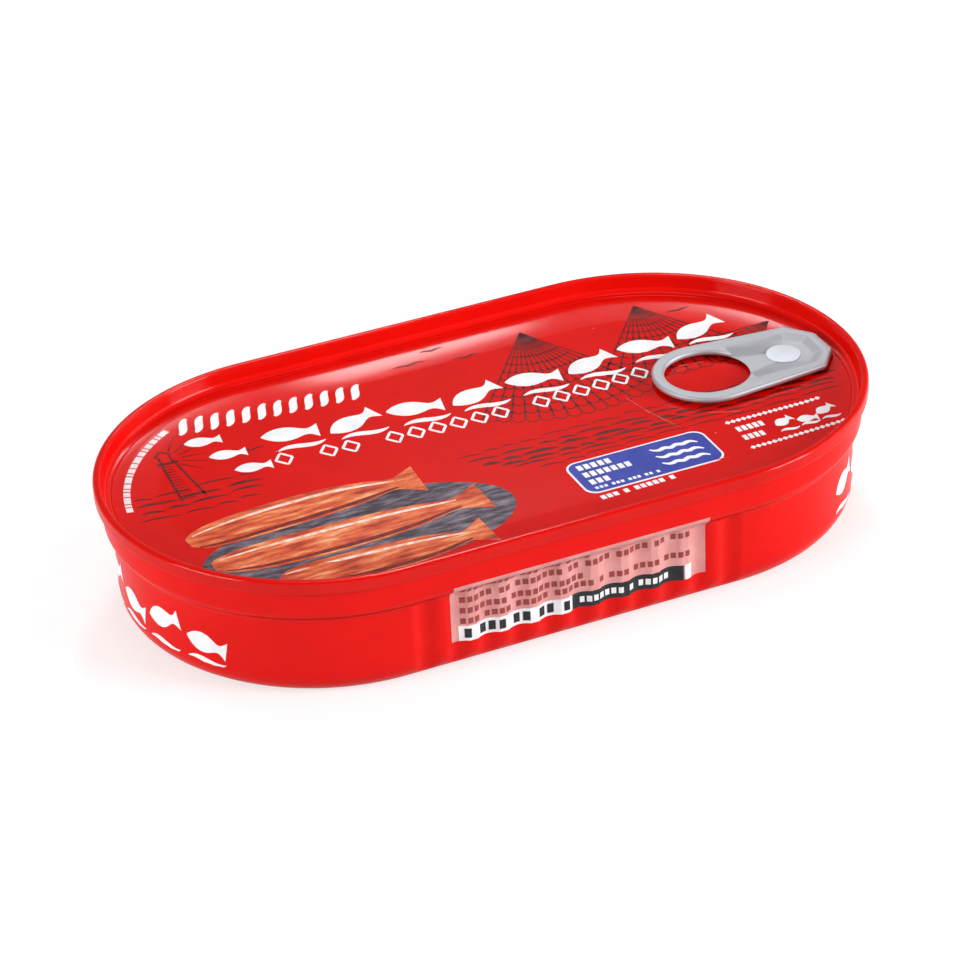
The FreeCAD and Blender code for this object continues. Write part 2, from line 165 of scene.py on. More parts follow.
make_table()
make_room()
add_lamp("back_strip", 156, 48, 0.75, 0.08, 0.28, 1.35)
add_lamp("overhead", 158, 80, 1.0, 0.4, 0.4, 1.0)
add_lamp("front_softbox", 48, 18, 1.2, 0.45, 0.6, 13.8)
add_lamp("right_softbox", 80, 18, 1.1, 0.6, 0.6, 2.2)
add_lamp("left_softbox", -80, 18, 1.1, 0.6, 0.6, 9.2)
bpy.context.scene.view_settings.view_transform = "Standard"


# The camera looks down on the tin from its front left corner with a long lens.
# It aims at a point on the panel a little left of the middle and in front of it.

VIEW_TURN = math.radians(-23.345)
VIEW_RISE = math.radians(31.771)
VIEW_DISTANCE = 690.8 * MM
VIEW_ROLL = math.radians(-2.617)
VIEW_LENS = 138.75
AIM = Vector((-7.64 * MM, -13.56 * MM, cad_high.z - 4.2 * MM))


def make_camera():
    bpy.ops.object.camera_add()
    camera = bpy.context.object
    flat = math.cos(VIEW_RISE)
    camera.location = VIEW_DISTANCE * Vector((math.sin(VIEW_TURN) * flat, -math.cos(VIEW_TURN) * flat,
                                              math.sin(VIEW_RISE)))
    camera.rotation_mode = "QUATERNION"
    level = (AIM - camera.location).to_track_quat("-Z", "Y")
    camera.rotation_quaternion = level @ Quaternion((0, 0, 1), VIEW_ROLL)
    camera.data.lens = VIEW_LENS
    camera.data.sensor_width = 36
    camera.data.clip_start = 0.05
    camera.data.clip_end = 20
    bpy.context.scene.camera = camera


make_camera()


# The can is one piece of tinplate, drawn into an oblong cup with a neck, a step and a rounded foot.
# Upright flutes are pressed into both long sides, and it is enamelled red outside before it is filled.

body_low, body_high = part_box("can_body")
lid_low, lid_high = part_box("lid")
HALF_RUN = lid_high.x - lid_high.y
NECK_RADIUS = body_high.y
STEP_TOP = 18.5 * MM
STEP_RISE = 3.0 * MM
STEP_INSET = 1.6 * MM
WALL_RADIUS = NECK_RADIUS - STEP_INSET
FOOT_ROUND = 4.5 * MM
FOOT_BREADTH = 2.5 * MM
RECESS_SLOPE = 1.2 * MM
RECESS_DEPTH = 0.6 * MM
RECESS_ROUND = 0.5 * MM
WALL_ROWS = 12
LID_GAUGE = 0.2 * MM
FLUTE_PITCH = 5.95 * MM
FLUTE_BREADTH = 4.4 * MM
FLUTE_DEPTH = 0.8 * MM
FLUTE_LIMIT = 38.7 * MM
TURN_STEPS = 160
RUN_STEPS = 88
MERGE_REACH = 0.004 * MM


def rounded_line(corners, steps=8):
    """Points along a line through corners (r, z, round), each round an arc tangent to both its sides."""
    points = []
    for place, (r, z, corner_round) in enumerate(corners):
        here = Vector((r, z))
        if not corner_round:
            points.append(here)
            continue
        back = (Vector(corners[place - 1][:2]) - here).normalized()
        ahead = (Vector(corners[place + 1][:2]) - here).normalized()
        half = back.angle(ahead) / 2
        centre = here + (back + ahead).normalized() * corner_round / math.sin(half)
        spoke = here + back * corner_round / math.tan(half) - centre
        sweep = math.pi - 2 * half
        sense = 1 if back.x * ahead.y - back.y * ahead.x < 0 else -1
        for step in range(steps + 1):
            points.append(centre + Matrix.Rotation(sense * sweep * step / steps, 2) @ spoke)
    return points


def draw_section(name, points):
    """A chain of edges in the plane x = HALF_RUN, each point at (radius, height), drawn by extruding a point."""
    first = points[0]
    bpy.ops.mesh.primitive_plane_add(size=MM, location=(HALF_RUN, -first.x, first.y))
    piece = bpy.context.object
    piece.name = name
    select_only(piece)
    bpy.ops.object.transform_apply()
    bpy.ops.object.mode_set(mode="EDIT")
    bpy.ops.mesh.select_all(action="SELECT")
    bpy.ops.mesh.merge(type="CENTER")
    for here, there in zip(points, points[1:]):
        step = (0, here.x - there.x, there.y - here.y)
        bpy.ops.mesh.extrude_vertices_move(TRANSFORM_OT_translate={"value": step})
    return piece


def sweep_oval(piece, run_steps, turn_steps):
    """Carries the section round one end, along a long side, round the other end and back, in edit mode."""
    bpy.ops.mesh.select_all(action="SELECT")
    for side in (1, -1):
        bpy.ops.mesh.spin(steps=turn_steps, angle=-math.pi, center=(side * HALF_RUN, 0, 0), axis=(0, 0, 1))
        for _ in range(run_steps):
            stride = (-side * 2 * HALF_RUN / run_steps, 0, 0)
            bpy.ops.mesh.extrude_region_move(TRANSFORM_OT_translate={"value": stride})
    bpy.ops.mesh.select_all(action="SELECT")
    bpy.ops.mesh.remove_doubles(threshold=MERGE_REACH)
    bpy.ops.mesh.normals_make_consistent(inside=False)
    bpy.ops.object.mode_set(mode="OBJECT")
    bpy.ops.object.shade_smooth()


def pick_vertices(piece, wanted):
    """Leaves the piece in edit mode with just those vertices selected that the test wanted says yes to."""
    select_only(piece)
    bpy.ops.object.mode_set(mode="EDIT")
    bpy.ops.mesh.select_all(action="DESELECT")
    bpy.ops.object.mode_set(mode="OBJECT")
    for vertex in piece.data.vertices:
        vertex.select = wanted(vertex.co)
    bpy.ops.object.mode_set(mode="EDIT")


def press_flutes(piece):
    """Pushes each flute in with a soft round brush held along its centre line."""
    count = int(2 * FLUTE_LIMIT / FLUTE_PITCH)
    low, high = body_low.z + FOOT_ROUND - 1.2 * MM, STEP_TOP - STEP_RISE - 0.4 * MM
    for index in range(count):
        x = (index - (count - 1) / 2) * FLUTE_PITCH
        for side in (1, -1):
            columns = {round(v.co.x, 7) for v in piece.data.vertices if v.co.y * side > WALL_RADIUS * 0.9}
            column = min(columns, key=lambda place: abs(place - x))
            pick_vertices(piece, lambda co: abs(co.x - column) < 0.01 * MM and co.y * side > 0 and low < co.z < high)
            bpy.ops.transform.translate(value=(0, -side * FLUTE_DEPTH, 0), use_proportional_edit=True,
                                        proportional_edit_falloff="INVERSE_SQUARE",
                                        proportional_size=FLUTE_BREADTH / 2)
            bpy.ops.object.mode_set(mode="OBJECT")


def weigh_normals(piece):
    """Keeps flat faces flat in the shading beside their rounded edges."""
    select_only(piece)
    modifier = piece.modifiers.new("weighted_normal", "WEIGHTED_NORMAL")
    modifier.keep_sharp = False
    modifier.weight = 60
    bpy.ops.object.modifier_apply(modifier=modifier.name)


def red_enamel(name, base, deep, gloss=0.2):
    """Red lithographic enamel under clear varnish on tinplate: even, a little deeper here and there, with the
    faint orange peel of a roller coat and a few specks of dust. The varnish gives it its soft gloss."""
    material, tree = new_material(name)
    place = node(tree, "TexCoord")
    cloud = node(tree, "TexNoise", values={"Scale": 1 / (9 * MM), "Detail": 3.0}, links={0: place.outputs["Object"]})
    tint = node(tree, "ValToRGB", links={0: cloud.outputs[0]})
    tint.color_ramp.elements[0].position = 0.35
    tint.color_ramp.elements[0].color = linear(deep)
    tint.color_ramp.elements[1].position = 0.65
    tint.color_ramp.elements[1].color = linear(base)
    cells = node(tree, "TexVoronoi", values={"Scale": 1 / (7 * MM)}, links={0: place.outputs["Object"]})
    speck = node(tree, "Math", {"operation": "LESS_THAN"}, {1: 0.016}, {0: cells.outputs["Distance"]})
    colour = node(tree, "MixRGB", values={"Color2": linear("#F0C8C0")},
                  links={"Fac": speck.outputs[0], "Color1": tint.outputs[0]})
    peel = node(tree, "TexNoise", values={"Scale": 1 / (0.9 * MM), "Detail": 1.0}, links={0: place.outputs["Object"]})
    bump = node(tree, "Bump", values={"Strength": 0.08, "Distance": 0.01 * MM}, links={"Height": peel.outputs[0]})
    enamel = node(tree, "BsdfPrincipled",
                  values={"Roughness": 0.35, "IOR": 1.48, "Specular IOR Level": 0.02, "Coat Weight": gloss,
                          "Coat Roughness": 0.11},
                  links={"Base Color": colour.outputs[0], "Normal": bump.outputs[0]})
    node(tree, "OutputMaterial", links={"Surface": enamel.outputs[0]})
    return material


def make_can():
    step_round = (STEP_RISE ** 2 + STEP_INSET ** 2) / (4 * STEP_INSET)
    lean = step_round * math.tan(math.asin(STEP_RISE / 2 / step_round) / 2)
    under_panel = lid_low.z - 0.05 * MM
    corners = [
        (0, under_panel, 0),
        (NECK_RADIUS - 0.9 * MM, under_panel, 0),
        (NECK_RADIUS - 0.5 * MM, body_high.z, 0),
        (NECK_RADIUS, body_high.z, 0),
        (NECK_RADIUS, STEP_TOP - lean, step_round * 0.98),
        (WALL_RADIUS, STEP_TOP - STEP_RISE + lean, step_round * 0.98),
    ]
    wall_low, wall_high = FOOT_ROUND + 0.4 * MM, STEP_TOP - STEP_RISE - 0.5 * MM
    for row in range(WALL_ROWS + 1):
        corners.append((WALL_RADIUS, wall_high + (wall_low - wall_high) * row / WALL_ROWS, 0))
    foot_inner = WALL_RADIUS - FOOT_ROUND - FOOT_BREADTH
    corners += [
        (WALL_RADIUS, body_low.z, FOOT_ROUND),
        (foot_inner, body_low.z, RECESS_ROUND),
        (foot_inner - RECESS_SLOPE, RECESS_DEPTH, RECESS_ROUND),
        (0, RECESS_DEPTH, 0),
    ]
    can = draw_section("can_wall", rounded_line(corners))
    sweep_oval(can, RUN_STEPS, TURN_STEPS)
    press_flutes(can)
    weigh_normals(can)
    can.data.materials.append(red_enamel("red_can_enamel", "#EA0D06", "#E40B05", 0.25))
    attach(can, "root")
    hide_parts("can_body")
    return can


can_wall = make_can()


# The lid is one thin steel end with a scored panel, seamed over the can's rim all the way round.
# Its panel is printed, varnished and softly dished, so that light lies in bands along its long edges.

SEAM_HEIGHT = 2.6 * MM
SEAM_THICKNESS = 1.4 * MM
CHUCK_DEPTH = 3.8 * MM
CHUCK_DRAFT = 0.3 * MM
PANEL_DISH = 0.85 * MM
DISH_REACH = 14.0 * MM
WALL_FOOT_RISE = 0.3 * MM
DISH_POWER = 3
SCORE_INSET = 1.3 * MM
SCORE_BREADTH = 0.3 * MM
SCORE_DEPTH = 0.08 * MM
SCORE_ROUND = 0.04 * MM
SHELF_ROUND = 0.9 * MM
SEAM_INNER_ROUND = 0.5 * MM
SEAM_OUTER_ROUND = 0.6 * MM
SEAM_FOOT_ROUND = 0.3 * MM
LID_TURN_STEPS = 72
LID_RUN_STEPS = 16
DISH_STEPS = 14
SEAM_RADIUS = lid_high.y
CHUCK_RADIUS = SEAM_RADIUS - SEAM_THICKNESS
SHELF_RADIUS = CHUCK_RADIUS - CHUCK_DRAFT
SHELF = lid_high.z - CHUCK_DEPTH + WALL_FOOT_RISE


def dished(radius):
    """Height of the panel at a distance from the ends' axes: a shallow bowl rim that flattens inwards."""
    share = min(1.0, max(0.0, (SHELF_RADIUS - radius) / DISH_REACH))
    return SHELF - PANEL_DISH * (1 - (1 - share) ** DISH_POWER)


def make_lid():
    seam_foot = lid_high.z - SEAM_HEIGHT
    score = SHELF_RADIUS - SCORE_INSET
    under = SHELF - PANEL_DISH - LID_GAUGE
    dish = [score - SCORE_BREADTH - (DISH_REACH - SCORE_INSET - SCORE_BREADTH) * (1 - i / DISH_STEPS) ** 1.4
            for i in range(DISH_STEPS + 1)]
    corners = [(radius * MM, dished(radius * MM), 0) for radius in (0, 6, 12, 18, 23)]
    corners += [(radius, dished(radius), 0) for radius in dish]
    corners += [
        (score - SCORE_BREADTH / 2, dished(score - SCORE_BREADTH / 2), SCORE_ROUND),
        (score, dished(score) - SCORE_DEPTH, SCORE_ROUND),
        (score + SCORE_BREADTH / 2, dished(score + SCORE_BREADTH / 2), SCORE_ROUND),
        (SHELF_RADIUS, SHELF, SHELF_ROUND),
        (CHUCK_RADIUS - CHUCK_DRAFT * 0.5, (lid_high.z + SHELF) / 2, 0),
        (CHUCK_RADIUS, lid_high.z, SEAM_INNER_ROUND),
        (SEAM_RADIUS, lid_high.z, SEAM_OUTER_ROUND),
        (SEAM_RADIUS, seam_foot, SEAM_FOOT_ROUND),
        (CHUCK_RADIUS - LID_GAUGE, seam_foot, 0),
        (SHELF_RADIUS - LID_GAUGE, SHELF - LID_GAUGE * 1.4, 0),
        (SHELF_RADIUS - DISH_REACH, under, 0),
        (0, under, 0),
    ]
    lid = draw_section("lid_panel_and_seam", rounded_line(corners))
    sweep_oval(lid, LID_RUN_STEPS, LID_TURN_STEPS)
    weigh_normals(lid)
    lid.data.materials.append(red_enamel("red_lid_enamel", "#DE0B04", "#D60903", 0.36))
    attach(lid, "root")
    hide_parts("lid")
    return lid


lid_panel = make_lid()


# The lid's print is ink under the varnish: white ornament, a blue patch, dark red line work and a dish of fish.
# Each colour is a thin film that follows the dished panel, and its strokes are laid with a flat brush.

INK_LIFT = 0.03 * MM
INK_BODY = 0.05 * MM


def draw_strokes(name, strokes, breadth, order=4, fineness=5):
    """Flat brush strokes, each a list of points (x, y, share of the breadth) in millimetres, as a mesh."""
    drawing = bpy.data.curves.new(name, "CURVE")
    drawing.dimensions = "3D"
    drawing.twist_mode = "Z_UP"
    drawing.extrude = breadth * MM / 2
    drawing.resolution_u = fineness
    for stroke in strokes:
        line = drawing.splines.new("NURBS")
        line.points.add(len(stroke) - 1)
        for point, (x, y, share) in zip(line.points, stroke):
            point.co = (x * MM, y * MM, 0, 1)
            point.radius = share
            point.tilt = math.pi / 2
        line.order_u = min(order, len(stroke))
        line.use_endpoint_u = True
    piece = bpy.data.objects.new(name, drawing)
    bpy.context.scene.collection.objects.link(piece)
    select_only(piece)
    bpy.ops.object.convert(target="MESH")
    return bpy.context.object


def close_film(piece, push):
    """Gives a film its body by extruding it into the surface under it, and turns its faces outwards."""
    edit_all(piece)
    bpy.ops.mesh.remove_doubles(threshold=MERGE_REACH)
    bpy.ops.mesh.extrude_region_move(TRANSFORM_OT_translate={"value": push})
    bpy.ops.mesh.select_all(action="SELECT")
    bpy.ops.mesh.normals_make_consistent(inside=False)
    bpy.ops.object.mode_set(mode="OBJECT")
    bpy.ops.object.shade_flat()


def lay_on_panel(piece, ink, layer=1, cuts=0):
    """Drops a flat drawing onto the panel and makes it a film of ink there."""
    edit_all(piece)
    bpy.ops.mesh.remove_doubles(threshold=MERGE_REACH)
    if cuts:
        bpy.ops.mesh.subdivide(number_cuts=cuts)
    bpy.ops.transform.translate(value=(0, 0, lid_high.z + MM))
    bpy.ops.object.mode_set(mode="OBJECT")
    drop = piece.modifiers.new("drop", "SHRINKWRAP")
    drop.target = lid_panel
    drop.wrap_method = "PROJECT"
    drop.use_project_z = True
    drop.use_positive_direction = False
    drop.use_negative_direction = True
    drop.offset = INK_LIFT * layer
    bpy.ops.object.modifier_apply(modifier=drop.name)
    close_film(piece, (0, 0, -INK_BODY - INK_LIFT * (layer - 1)))
    piece.data.materials.append(ink)
    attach(piece, "root")


def varnished(tree, tint, roughness=0.4):
    """Ends a material as ink under a thin coat of clear varnish."""
    film = node(tree, "BsdfPrincipled", values={"Roughness": roughness, "Specular IOR Level": 0.1, "Coat Weight": 0.2,
                                                "Coat Roughness": 0.11}, links={"Base Color": tint.outputs[0]})
    node(tree, "OutputMaterial", links={"Surface": film.outputs[0]})


def ink_material(name, first, second, grain, roughness=0.4):
    """Printing ink under varnish: one flat colour that clouds a little where the roller laid it unevenly."""
    material, tree = new_material(name)
    place = node(tree, "TexCoord")
    cloud = node(tree, "TexNoise", values={"Scale": 1 / (grain * MM), "Detail": 3.0},
                 links={0: place.outputs["Object"]})
    tint = node(tree, "ValToRGB", links={0: cloud.outputs[0]})
    tint.color_ramp.elements[0].position = 0.4
    tint.color_ramp.elements[0].color = linear(first)
    tint.color_ramp.elements[1].position = 0.6
    tint.color_ramp.elements[1].color = linear(second)
    varnished(tree, tint, roughness)
    return material


WHITE_INK = ink_material("white_printing_ink", "#F4F4F8", "#FFFFFF", 3.0)
BLUE_INK = ink_material("blue_printing_ink", "#3440A4", "#3B48AE", 4.0)
DARK_RED_INK = ink_material("dark_red_printing_ink", "#540A08", "#74100C", 2.0)


# Across the middle swims a school of white fish on a gentle arc, flat shapes with a short wave under each.
# A thin row of outlined lozenges lies under it, and a band of slanted rope strands over its left end.


def arc_line(x, rise=0.0):
    """Height of the row's base line at x, a shallow bow that sags in the middle."""
    return 9.4 + 0.0016 * (x - 10) ** 2 + rise


def small_fish(x, y, length, tilt=-9.0):
    """A plain fish from its nose to its tail: a body that swells and narrows, then a forked end."""
    shape = [(0, 0.05), (0.12, 0.6), (0.35, 1.0), (0.6, 0.75), (0.8, 0.2), (0.9, 0.5), (1.0, 0.85)]
    turn = math.radians(tilt)
    return [(x + length * along * math.cos(turn), y + length * along * math.sin(turn), share) for along, share in shape]


def low_wave(x, y, length, rise):
    """One shallow wave that thins out at both ends."""
    return [(x, y, 0.1), (x + length * 0.2, y + rise, 0.8), (x + length * 0.5, y, 1.0),
            (x + length * 0.8, y - rise, 0.8), (x + length, y, 0.1)]


def lozenge(x, y, breadth, height):
    """A closed outline of a lozenge, drawn with a fine brush."""
    corners = [(-0.5, 0), (0, 0.5), (0.5, 0), (0, -0.5), (-0.5, 0)]
    return [(x + breadth * px, y + height * py, 1.0) for px, py in corners]


def make_white_rows():
    fish, waves = [], []
    for place in range(8):
        x = -37.0 + 12.1 * place
        tilt = 20.0 if place % 2 else -12.0
        fish.append(small_fish(x, arc_line(x + 5, 6.2) - (2.0 if place % 2 else -1.2), 10.8, tilt))
        waves.append(low_wave(x + 1.0, arc_line(x + 5, 1.2), 9.4, 0.9))
    lay_on_panel(draw_strokes("fish_school", fish, 5.6, fineness=8), WHITE_INK, 2, 1)
    lay_on_panel(draw_strokes("school_waves", waves, 1.5), WHITE_INK, 2)
    places = [-36 + 4.2 * i for i in range(18) if i not in (1, 4, 11)]
    gems = [lozenge(x, arc_line(x, -2.3), 3.3, 4.4) for x in places]
    lay_on_panel(draw_strokes("lozenge_row", gems, 0.5, order=2), WHITE_INK, 2)
    ropes = []
    for i in range(12):
        left, low = -50.0 + 3.05 * i, 27.4 - 0.25 * i
        ropes.append([(left, low, 0.35), (left + 0.9, low + 0.5, 1.0), (left + 1.5, low + 2.4, 1.15),
                      (left + 2.1, low + 4.3, 1.0), (left + 3.0, low + 4.8, 0.35)])
    lay_on_panel(draw_strokes("rope_band", ropes, 1.45), WHITE_INK, 2)


make_white_rows()


# Small white marks fill the rest: two lozenge rows at the near right with fish and blocks between them,
# three little fish at the left end, and short blocks along the left end's curve where a pack has small print.


def block_row(left, low, right, high, block, gap, words):
    """Short blocks from one end of a line to the other, in groups as long as words says, over and over."""
    run = math.hypot(right - left, high - low)
    blocks, at, group = [], 0.0, 0
    left_in_group = words[0]
    while at + block <= run:
        ends = [(at / run), (at + block) / run]
        blocks.append([(left + (right - left) * e, low + (high - low) * e, 1.0) for e in ends])
        at += block + gap
        left_in_group -= 1
        if left_in_group == 0:
            group += 1
            left_in_group = words[group % len(words)]
            at += block
    return blocks


def make_white_marks():
    gems = []
    for low in (-16.4, -26.4):
        for i in range(18):
            x = 41.2 + 1.1 * i
            gems.append([(x - 0.56, low, 0.02), (x, low, 1.0), (x + 0.56, low, 0.02)])
    lay_on_panel(draw_strokes("gem_rows", gems, 1.25, order=2), WHITE_INK, 2)
    school = [small_fish(x, -21.5, 4.0, tilt) for x, tilt in ((48.6, 24), (52.9, -14), (57.2, 24))]
    lay_on_panel(draw_strokes("weight_fish", school, 2.9), WHITE_INK, 2, 1)
    ripples = [low_wave(48.4 + 4.3 * i, -23.8, 3.8, 0.5) for i in range(3)]
    lay_on_panel(draw_strokes("weight_waves", ripples, 0.9), WHITE_INK, 2)
    lines = block_row(41.5, -19.4, 47.0, -19.4, 0.8, 0.35, (5,)) + block_row(41.2, -22.6, 46.0, -22.6, 0.8, 0.35, (4,))
    lay_on_panel(draw_strokes("weight_blocks", lines, 1.7, order=2), WHITE_INK, 2)
    fish = [small_fish(x, y, 7.0) for x, y in ((-50.5, 24.0), (-48.0, 17.5), (-45.5, 11.0))]
    lay_on_panel(draw_strokes("little_fish", fish, 3.6), WHITE_INK, 2)
    curve, angle = [], math.radians(171)
    for length in (2, 1, 3, 2, 1, 2, 3, 1, 2, 2, 3, 2, 1, 2, 2, 1, 3):
        sweep = math.radians(length * 1.15)
        spots = [angle - sweep * i / 2 for i in range(3)]
        curve.append([(-HALF_RUN / MM + 35.3 * math.cos(a), 35.3 * math.sin(a), 1.0) for a in spots])
        angle -= sweep + math.radians(0.65)
    lay_on_panel(draw_strokes("curved_blocks", curve, 1.25), WHITE_INK, 2)


make_white_marks()


# The blue patch is a plain round-cornered field inside a white border, with blocks and a few waves on it.
# It sits at the near side, and a row of white blocks runs under it.

PATCH_CENTRE = (21.5, -21.8)
PATCH_SIZE = (28.0, 11.6)


def round_patch(name, centre, size, corner):
    """A flat rectangle with round corners, cut finely enough to follow the dished panel."""
    bpy.ops.mesh.primitive_plane_add(size=1, location=(0, 0, 0))
    piece = bpy.context.object
    piece.name = name
    edit_all(piece)
    bpy.ops.transform.resize(value=(size[0] * MM, size[1] * MM, 1))
    bpy.ops.transform.translate(value=(centre[0] * MM, centre[1] * MM, 0))
    bpy.ops.mesh.bevel(affect="VERTICES", offset=corner * MM, segments=6)
    bpy.ops.mesh.select_all(action="SELECT")
    bpy.ops.mesh.quads_convert_to_tris()
    bpy.ops.object.mode_set(mode="OBJECT")
    return piece


def make_blue_patch():
    left, low = PATCH_CENTRE[0] - PATCH_SIZE[0] / 2, PATCH_CENTRE[1] - PATCH_SIZE[1] / 2
    lay_on_panel(round_patch("patch_border", PATCH_CENTRE, PATCH_SIZE, 2.4), WHITE_INK, 2, 6)
    inner = (PATCH_SIZE[0] - 0.8, PATCH_SIZE[1] - 0.8)
    lay_on_panel(round_patch("blue_patch", PATCH_CENTRE, inner, 2.1), BLUE_INK, 3, 6)
    blocks = []
    for row, words in enumerate(((5,), (7,), (3,))):
        height = low + 9.3 - 2.7 * row
        blocks += block_row(left + 2.0, height, left + 2.0 + 1.5 * words[0], height, 1.0, 0.4, words)
    lay_on_panel(draw_strokes("patch_blocks", blocks, 1.7, order=2), WHITE_INK, 4)
    fine = block_row(left + 2.0, low + 1.7, left + 15.0, low + 1.7, 0.6, 0.3, (3, 3, 3, 2))
    fine_below = block_row(left + 1.5, low - 1.7, left + 17.0, low - 1.2, 0.9, 0.35, (3, 1, 5))
    lay_on_panel(draw_strokes("patch_small_blocks", fine, 0.8, order=2), WHITE_INK, 4)
    lay_on_panel(draw_strokes("blocks_under_patch", fine_below, 1.3, order=2), WHITE_INK, 2)
    waves = []
    for row in range(3):
        height = low + 3.2 + 2.6 * row
        waves.append([(left + 16.5 + 1.3 * i, height + 0.75 * (-1) ** i, 1.0 if 0 < i < 7 else 0.3) for i in range(8)])
    lay_on_panel(draw_strokes("patch_waves", waves, 0.95), WHITE_INK, 4)


make_blue_patch()


# Dark red line work in the manner of an old engraving lies under the white: three hung nets, a swell
# of short hatched waves below them, gulls, and a light tower over waves at the left end.


def hung_net(x, y, reach, first, last, count):
    """A net hung from a point: straight cords that fan out, and slack rows of meshes across them."""
    angles = [math.radians(first + (last - first) * i / (count - 1)) for i in range(count)]
    cords = [[(x, y, 0.6), (x + reach * math.cos(a), y + reach * math.sin(a), 1.0)] for a in angles]
    rows = []
    for row in range(2, 12):
        far = reach * row / 11
        line = []
        for place, angle in enumerate(angles):
            line.append((x + far * math.cos(angle), y + far * math.sin(angle), 1.0))
            if place < count - 1:
                middle, slack = (angle + angles[place + 1]) / 2, far + 0.05 * reach * row / 11
                line.append((x + slack * math.cos(middle), y + slack * math.sin(middle), 0.7))
        rows.append(line)
    return cords, rows


def make_engraving():
    cords, rows = [], []
    for net in ((22, 33, 33, -127, -62, 15), (46, 32, 27, -128, -60, 13), (66, 14, 17, 178, 232, 7)):
        net_cords, net_rows = hung_net(*net)
        cords += net_cords
        rows += net_rows
    lay_on_panel(draw_strokes("net_cords", cords, 0.38, order=2), DARK_RED_INK, 1, 6)
    lay_on_panel(draw_strokes("net_rows", rows, 0.3, order=3, fineness=3), DARK_RED_INK, 1)
    chance = random.Random(7)
    swell = []
    for low, left, right, heavy in ((-4.5, -8, 66, 0.5), (-6.8, -7, 67, 1.0), (-8.8, -5, 68, 1.7),
                                    (-10.6, -2, 68, 1.5), (-12.4, 0, 68, 0.9), (-14.2, 4, 66, 0.6),
                                    (9.0, -66, -43, 0.8), (6.4, -66, -42, 1.4), (4.0, -66, -41, 1.2),
                                    (1.4, -67, -44, 0.8)):
        x = left
        while x < right - 1.5:
            long = min(chance.uniform(3.0, 8.0), right - x)
            y = low + chance.uniform(-0.3, 0.3)
            swell.append([(x, y, 0.1), (x + long * 0.3, y + 0.55, heavy), (x + long * 0.7, y + 0.1, heavy * 0.8),
                          (x + long, y - 0.5, 0.1)])
            x += long * chance.uniform(1.0, 1.15)
    lay_on_panel(draw_strokes("swell", swell, 0.85, fineness=3), DARK_RED_INK, 1)
    tower = []
    for step in range(13):
        y = 6.0 + step
        half = 2.2 - 0.07 * step
        tower.append([(-55.5 - half, y, 0.8), (-55.5 + half * 0.2, y - 0.2, 0.4)])
    tower += [[(-57.8, 5.5, 1), (-56.8, 19, 1)], [(-53.2, 5.5, 1), (-54.2, 19, 1)], [(-57.5, 19, 2), (-53.5, 19, 2)],
              [(-56.6, 19, 1), (-56.6, 21.6, 1)], [(-54.4, 19, 1), (-54.4, 21.6, 1)],
              [(-57.2, 21.6, 1), (-55.5, 23.4, 1), (-53.8, 21.6, 1)]]
    for angle in range(-50, 61, 22):
        a = math.radians(angle)
        tower.append([(-55.5 + 3 * math.cos(a), 20.3 + 3 * math.sin(a), 0.7),
                      (-55.5 + 8 * math.cos(a), 20.3 + 8 * math.sin(a), 0.2)])
    lay_on_panel(draw_strokes("light_tower", tower, 0.42, order=2), DARK_RED_INK, 1, 3)
    gulls = []
    for x, y, wing in ((-2, 31, 3.2), (4, 34, 2.4), (9, 29, 2.8), (53, 26, 2.4), (-40, 16, 2.4)):
        gulls.append([(x - wing, y + 0.6, 0.2), (x - wing * 0.5, y + 1.1, 1.0), (x, y - 0.2, 1.0),
                      (x + wing * 0.5, y + 1.1, 1.0), (x + wing, y + 0.6, 0.2)])
    lay_on_panel(draw_strokes("gulls", gulls, 0.5), DARK_RED_INK, 1)


make_engraving()


# Handling has left a few short nicks in the varnish, thin pale lines between the ring pull and the near edge.


def make_scuffs():
    nicks = [[(28.8, 1.0, 0.3), (30.3, -6.2, 1.0), (32.8, -13.9, 0.3)], [(39.4, -11.2, 0.4), (45.3, -13.9, 0.9)],
             [(32.0, -26.9, 0.9), (35.5, -27.6, 0.5)], [(41.0, 6.1, 0.8), (43.5, 6.9, 1.0), (48.0, 6.2, 0.4)]]
    worn = ink_material("worn_varnish", "#CC3A32", "#DA5A50", 1.0, 0.6)
    lay_on_panel(draw_strokes("varnish_nicks", nicks, 0.35, order=2), worn, 3, 2)


make_scuffs()


# The picture of the contents is a dish of three smoked fish seen from above, in flat printed colours.
# The dish is dark slate with a split, streaky face, and the fish shade from bronze to orange along the grain.


def streaked_ink(name, colours, grain, stretch):
    """Inks printed over each other: colours that run into streaks along one way, as split slate or flesh does."""
    material, tree = new_material(name)
    place = node(tree, "TexCoord")
    along = node(tree, "Mapping", values={"Scale": stretch, "Rotation": (0, 0, math.radians(8))},
                 links={0: place.outputs["Object"]})
    streak = node(tree, "TexNoise", values={"Scale": 1 / (grain * MM), "Detail": 6.0, "Roughness": 0.62},
                  links={0: along.outputs[0]})
    tint = node(tree, "ValToRGB", links={0: streak.outputs[0]})
    ramp = tint.color_ramp.elements
    while len(ramp) < len(colours):
        ramp.new(0.5)
    for place_in_ramp, colour in enumerate(colours):
        ramp[place_in_ramp].position = 0.32 + 0.36 * place_in_ramp / (len(colours) - 1)
        ramp[place_in_ramp].color = linear(colour)
    varnished(tree, tint)
    return material


